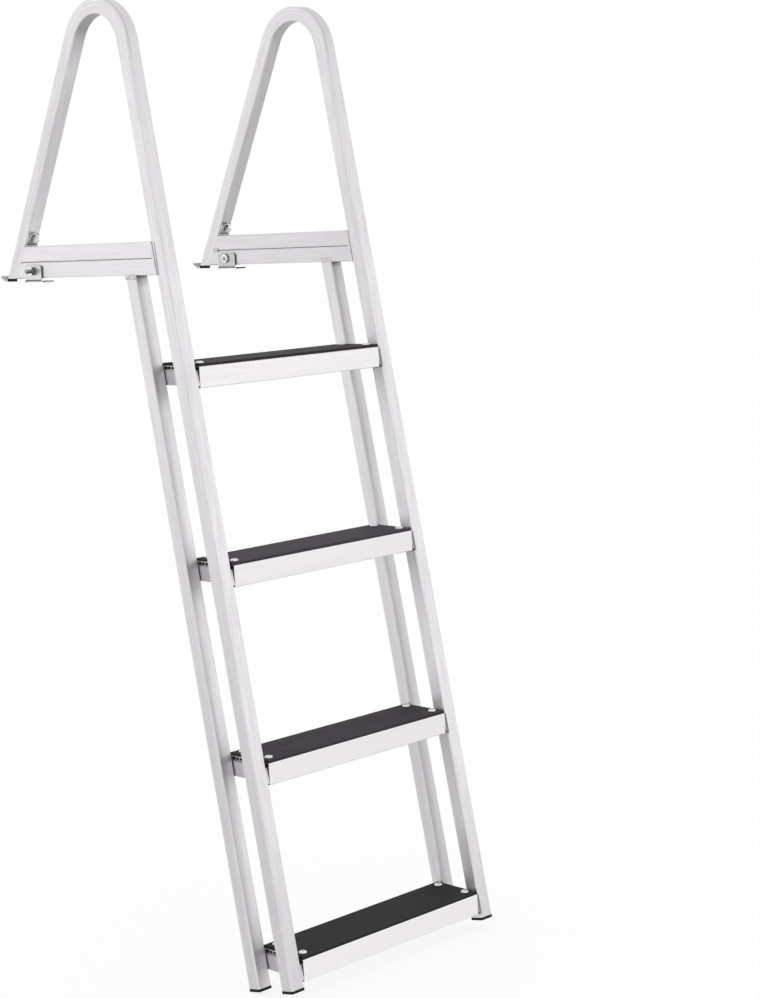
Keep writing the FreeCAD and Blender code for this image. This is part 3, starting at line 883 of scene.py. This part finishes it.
# Step screws with round heads and a cross recess
SCREW_RADIUS = 6.8
SCREW_HEIGHT = 2.9
SCREW_SKIRT = 0.4
RECESS_LENGTH = 3.1
RECESS_HALF = 0.62
RECESS_DEPTH = 1.5
SCREW_INSETS = (15.0, 12.5)
SCREW_DEPTHS = (17.0, 79.0)


def dome_height(radius):
    """Height of a round head at a distance from its middle."""
    share = min(radius / SCREW_RADIUS, 1.0)
    return SCREW_HEIGHT * math.sqrt(max(1 - share ** 2.4, 0.0))


def recess(a, b):
    """How deep the cross recess is at (a, b) from the head's middle."""
    a, b = abs(a), abs(b)
    if max(a, b) > RECESS_LENGTH or min(a, b) > RECESS_HALF:
        return 0.0
    return RECESS_DEPTH * (1 - 0.55 * max(a, b) / RECESS_LENGTH)


def screw_head(bm, base, turn):
    """A round head; the faces of its recess get the second material, a dark steel that paints the
    shade in the recess.
    """
    steps = 64
    radii = [0.25 * index for index in range(1, 14)]
    radii += [3.9, 4.6, 5.3, 5.9, 6.35, 6.65, 6.78, SCREW_RADIUS]
    centre = bm.verts.new((base + UP * (dome_height(0) - RECESS_DEPTH)) * MM)
    rows = []
    for radius in radii:
        row = []
        for index in range(steps):
            angle = 2 * math.pi * index / steps
            a = radius * math.cos(angle)
            b = radius * math.sin(angle)
            z = dome_height(radius) - recess(a, b)
            row.append(bm.verts.new((base + Vector((a * math.cos(turn) - b * math.sin(turn),
                                                    a * math.sin(turn) + b * math.cos(turn),
                                                    z))) * MM))
        rows.append(row)
    rows.append([bm.verts.new(v.co - UP * SCREW_SKIRT * MM) for v in rows[-1]])
    bm.faces.new(rows[-1])
    for index in range(steps):
        bm.faces.new((centre, rows[0][index], rows[0][(index + 1) % steps])).material_index = 1
    low = dome_height(RECESS_LENGTH) - 0.35
    for first, second in zip(rows, rows[1:]):
        for index in range(steps):
            after = (index + 1) % steps
            face = bm.faces.new((first[index], second[index], second[after], first[after]))
            sunk = max(v.co.z for v in face.verts) / MM - base.z < low
            near = (face.calc_center_median() / MM - base).xy.length < RECESS_LENGTH
            face.smooth = not (sunk and near)
            if sunk and near:
                face.material_index = 1


def make_screws(step, top):
    """Four screws, one near each corner of the step."""
    front = post_front(top) - STEP_OVERHANG
    bm = bmesh.new()
    for x in (STEP_START + SCREW_INSETS[0], STEP_END - SCREW_INSETS[1]):
        for depth in SCREW_DEPTHS:
            screw_head(bm, Vector((x, front + depth, top + MAT)),
                       random.uniform(0, math.pi / 2))
    finish_piece("step_%d_screws" % step, bm, [screw_metal, flank_shade_steel])


# Weld beads
BEAD_STEP = 0.5
BEAD_SIDES = 8
SHORT_BEAD = ((24.0, 35.2), (39.0, 35.2))
GROOVE_WIDTHS = (2.4, 2.0)


def bead(bm, points, outward, width, height, ripple=2.2):
    """A rippled weld bead along points, standing off the surface along outward."""
    along = [0.0]
    for a, b in zip(points, points[1:]):
        along.append(along[-1] + (b - a).length)
    total = along[-1]
    count = max(int(total / BEAD_STEP), 8)
    rows = []
    for index in range(count + 1):
        place = total * index / count
        segment = 0
        while segment < len(along) - 2 and along[segment + 1] < place:
            segment += 1
        share = (place - along[segment]) / max(along[segment + 1] - along[segment], 1e-6)
        centre = points[segment].lerp(points[segment + 1], share)
        ahead = (points[segment + 1] - points[segment]).normalized()
        across = ahead.cross(outward).normalized()
        wave = 0.65 + 0.35 * abs(math.sin(math.pi * place / ripple)) + random.uniform(-0.04, 0.04)
        ends = min(1.0, place / 1.5 + 0.05, (total - place) / 1.5 + 0.05)
        row = []
        for step in range(BEAD_SIDES + 1):
            angle = math.pi * step / BEAD_SIDES
            bend = 0.35 * math.cos(angle) ** 2
            reach = width / 2 * math.cos(angle) * ends * (0.55 + 0.45 * wave)
            row.append(bm.verts.new((centre + across * reach
                                     + outward * (height * math.sin(angle) * wave * ends - 0.15)
                                     - ahead * bend) * MM))
        rows.append(row)
    for first, second in zip(rows, rows[1:]):
        for i in range(BEAD_SIDES):
            bm.faces.new((first[i], first[i + 1], second[i + 1], second[i])).smooth = True
        bm.faces.new((first[-1], first[0], second[0], second[-1]))
    for row in (rows[0], rows[-1]):
        bm.faces.new(row)


def make_post_welds(side, x):
    """Beads round the top of the rear post, under the lower arm."""
    half = TUBE / 2
    z = ARM_BOTTOM
    rear = post_front(z) + REAR_POST_OFFSET
    back = rear + TUBE / math.cos(POST_LEAN)
    level, pitch = (z - 2.2, 3.4) if side == "left" else (z + 4.0, 8.0)
    bm = bmesh.new()
    bead(bm, [Vector((x - half, rear - 2.0, level)), Vector((x - half, back + 0.8, level))],
         -RIGHT, 9.0, 1.9, pitch)
    bead(bm, [Vector((x + half, rear + 1.5, z)), Vector((x + half, back + 0.8, z))],
         RIGHT, 6.0, 1.2, pitch)
    bead(bm, [Vector((x - half, back, z)), Vector((x + half, back, z))],
         Vector((0, 0.75, -0.66)), 5.0, 1.6)
    finish_piece(side + "_rear_post_welds", bm, [weld_metal])


def make_arm_welds(side, x):
    """Beads at both ends of the arms, and a short one on the right arm."""
    half = TUBE / 2
    low, high = ARM_BOTTOM + 1, ARM_TOP - 1
    bm = bmesh.new()
    for sign in (-1, 1):
        wall = x + sign * half
        bead(bm, [Vector((wall, leg_front(z), z)) for z in (low, high)], RIGHT * sign, 3.4, 0.6)
        bead(bm, [Vector((wall, post_rear(z) + END_PLATE, z)) for z in (low, high)],
             RIGHT * sign, 1.6, 0.25)
    first = len(bm.faces)
    if side == "right":
        bead(bm, [Vector((x - half, y, z)) for y, z in SHORT_BEAD], -RIGHT, 7.0, 2.2, 5.0)
    paint(bm, first, 1)
    finish_piece(side + "_arm_welds", bm, [seam_metal, weld_metal])


def make_groove_shade(side, x):
    """Thin dark strips that paint the shade where the end plate meets the front post, aslant on
    the near side.
    """
    low, high = ARM_BOTTOM + 0.5, ARM_TOP - 0.5
    bm = bmesh.new()
    for sign in (-1, 1):
        aslant = side == "left" and sign < 0
        low_shift, top_shift = (-5.6, -9.0) if aslant else (-1.4, -1.4)
        low_edge = post_rear(low) + low_shift
        top_edge = post_rear(high) + top_shift
        outline = ((low_edge, low), (low_edge + GROOVE_WIDTHS[0], low),
                   (top_edge + GROOVE_WIDTHS[1], high), (top_edge, high))
        inner, outer = [[bm.verts.new(Vector((x + sign * wall, y, z)) * MM) for y, z in outline]
                        for wall in (TUBE / 2 - 0.3, TUBE / 2 + 0.06)]
        bm.faces.new(inner)
        bm.faces.new(outer)
        for i in range(4):
            j = (i + 1) % 4
            bm.faces.new((inner[i], inner[j], outer[j], outer[i]))
    finish_piece(side + "_post_groove_shade", bm, [groove_shade_metal[side]])


# Dark blocks inside the treads' open cells, which paint the shade in them
SHADE_BLOCK_INSET = 1.2
SHADE_BLOCK_DEPTH = 6.0
SHADE_BLOCK_GAP = 0.05


def box(bm, x_low, x_high, y_low, y_high, z_low, z_high):
    """A closed box between two corners."""
    corners = [bm.verts.new(Vector((x, y, z)) * MM) for x in (x_low, x_high)
               for y in (y_low, y_high) for z in (z_low, z_high)]
    for face in ((0, 1, 3, 2), (4, 6, 7, 5), (0, 4, 5, 1), (2, 3, 7, 6), (0, 2, 6, 4),
                 (1, 5, 7, 3)):
        bm.faces.new([corners[index] for index in face])


def make_cell_shade_blocks(step, top):
    """Fills the ends of a tread's chambers and cells with dark blocks that paint their shade,
    each given by its depth and drop.
    """
    front = post_front(top) - STEP_OVERHANG
    rear = STEP_DEPTH - REAR_RIB_DEPTH
    cells = [(SKIN, FASCIA_DEPTH - SKIN, SKIN, DECK - SKIN),
             (SKIN, FASCIA_DEPTH - SKIN, DECK, FASCIA_SHELF - SKIN),
             (SKIN, FASCIA_DEPTH - SKIN, FASCIA_SHELF, FASCIA_HEIGHT - SKIN),
             (rear + SKIN, STEP_DEPTH - SKIN, SKIN, REAR_RIB_HEIGHT - SKIN)]
    pitch = (rear - FASCIA_DEPTH + SKIN) / DECK_CELLS
    for index in range(DECK_CELLS):
        start = FASCIA_DEPTH + pitch * index
        cells.append((start, start + pitch - SKIN, SKIN, DECK - SKIN))
    bm = bmesh.new()
    for low, high, drop_low, drop_high in cells:
        for x in (STEP_START + SHADE_BLOCK_INSET, STEP_END - SHADE_BLOCK_INSET - SHADE_BLOCK_DEPTH):
            box(bm, x, x + SHADE_BLOCK_DEPTH, front + low + SHADE_BLOCK_GAP, front + high - SHADE_BLOCK_GAP,
                top - drop_high + SHADE_BLOCK_GAP, top - drop_low - SHADE_BLOCK_GAP)
    finish_piece("step_%d_cell_shade_blocks" % step, bm, [plastic_and_cell_shade])


# All pieces; the screws and then the welds take their random draws in this order
for side, x in SIDES.items():
    make_rail(side, x)
    make_rear_post(side, x)
    make_arm(side, x, 0)
    make_arm(side, x, 1)
    make_dock_bolt(side, x, -1 if side == "left" else 1)
    make_corner_bolt(side, x)
for number, top in enumerate(STEP_TOPS, 1):
    make_mat(number, top)
    make_screws(number, top)
    make_cell_shade_blocks(number, top)
for side, x in SIDES.items():
    make_post_welds(side, x)
    make_arm_welds(side, x)
    make_groove_shade(side, x)

# Finish of the solids: the first row whose ending a name has, the last row for all others
FINISHES = (("_tread", step_metal), ("_cap", plastic_and_cell_shade), ("corner_bracket", shaded_zinc_plate),
            ("left_dock_bracket", bracket_metal["left"]),
            ("right_dock_bracket", bracket_metal["right"]), ("_mat", rubber),
            ("_bolt", bolt_metal), ("end_plate", end_plate_metal),
            ("bracket_right", far_plate_metal), ("", plate_metal))
for name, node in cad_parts.items():
    finish = next(material for ending, material in FINISHES if name.endswith(ending))
    for slot in node.material_slots:
        slot.material = finish

# Floor, light and camera
FLOOR_DROP = 0.3
FLOOR_SIZE = 40
GLOW_SHARE = 0.85
LIGHTS = (("front", (2.7, -3.1, 0.1), (0.2, -0.3, -0.3), 2.3, 6),
          ("side", (-2.2, 2.3, 0.4), (0.0, -0.2, 0.2), 1.6, 2),
          ("key", (-1.6, -2.4, 2.6), (0.2, -0.2, -0.2), 2.4, 5))
CAMERA_PLACE = Vector((-2.10329, -2.98986, 0.08574))
CAMERA_AIM = Vector((0.69412, 0.7166, -0.06841))
CAMERA_UP = Vector((0.08394, 0.01381, 0.99638))
LENS = 76.489
SHIFT_Y = -0.1393


def make_floor():
    """A pale floor that shows white to the camera and in metal, and keeps the shadow."""
    bm = bmesh.new()
    bmesh.ops.create_grid(bm, x_segments=1, y_segments=1, size=FLOOR_SIZE)
    mesh = bpy.data.meshes.new("floor")
    bm.to_mesh(mesh)
    bm.free()
    floor = bpy.data.objects.new("floor", mesh)
    floor.location = (0.21, -0.2, cad_low[2] - FLOOR_DROP * MM)
    bpy.context.scene.collection.objects.link(floor)
    material, tree, shader = new_material("pale_floor")
    shader.inputs["Base Color"].default_value = (0.9, 0.9, 0.9, 1)
    shader.inputs["Roughness"].default_value = 0.9
    glow = tree.nodes.new("ShaderNodeEmission")
    glow.inputs["Color"].default_value = (1, 1, 1, 1)
    path = tree.nodes.new("ShaderNodeLightPath")
    seen = tree.nodes.new("ShaderNodeMath")
    seen.operation = "MAXIMUM"
    tree.links.new(path.outputs["Is Camera Ray"], seen.inputs[0])
    tree.links.new(path.outputs["Is Glossy Ray"], seen.inputs[1])
    share = tree.nodes.new("ShaderNodeMath")
    share.operation = "MULTIPLY"
    share.inputs[1].default_value = GLOW_SHARE
    tree.links.new(seen.outputs[0], share.inputs[0])
    blend = tree.nodes.new("ShaderNodeMixShader")
    tree.links.new(share.outputs[0], blend.inputs["Fac"])
    tree.links.new(shader.outputs["BSDF"], blend.inputs[1])
    tree.links.new(glow.outputs["Emission"], blend.inputs[2])
    tree.links.new(blend.outputs["Shader"], tree.nodes["Material Output"].inputs["Surface"])
    mesh.materials.append(material)


def make_world():
    """Even white light from all round."""
    world = bpy.data.worlds.new("studio")
    bpy.context.scene.world = world
    world.use_nodes = True
    light = world.node_tree.nodes["Background"]
    light.inputs["Color"].default_value = (1, 1, 1, 1)
    light.inputs["Strength"].default_value = 1.0


def area_light(name, place, target, size, power):
    """A square lamp at a place that faces a target, in metres and watts."""
    data = bpy.data.lights.new(name, "AREA")
    data.shape = "SQUARE"
    data.size = size
    data.energy = power
    lamp = bpy.data.objects.new(name, data)
    lamp.location = place
    aim = Vector(target) - Vector(place)
    lamp.rotation_euler = aim.to_track_quat("-Z", "Y").to_euler()
    bpy.context.scene.collection.objects.link(lamp)


def make_camera():
    """The camera at the photograph's viewing angle."""
    data = bpy.data.cameras.new("camera")
    data.sensor_width = 36.0
    data.lens = LENS
    data.shift_y = SHIFT_Y
    data.clip_end = 50.0
    camera = bpy.data.objects.new("camera", data)
    forward = CAMERA_AIM.normalized()
    right = forward.cross(CAMERA_UP).normalized()
    turn = Matrix((right, right.cross(forward), -forward)).transposed().to_4x4()
    camera.matrix_world = Matrix.Translation(CAMERA_PLACE) @ turn
    bpy.context.scene.collection.objects.link(camera)
    bpy.context.scene.camera = camera


make_floor()
make_world()
for light in LIGHTS:
    area_light(*light)
make_camera()
bpy.context.scene.view_settings.view_transform = "Standard"
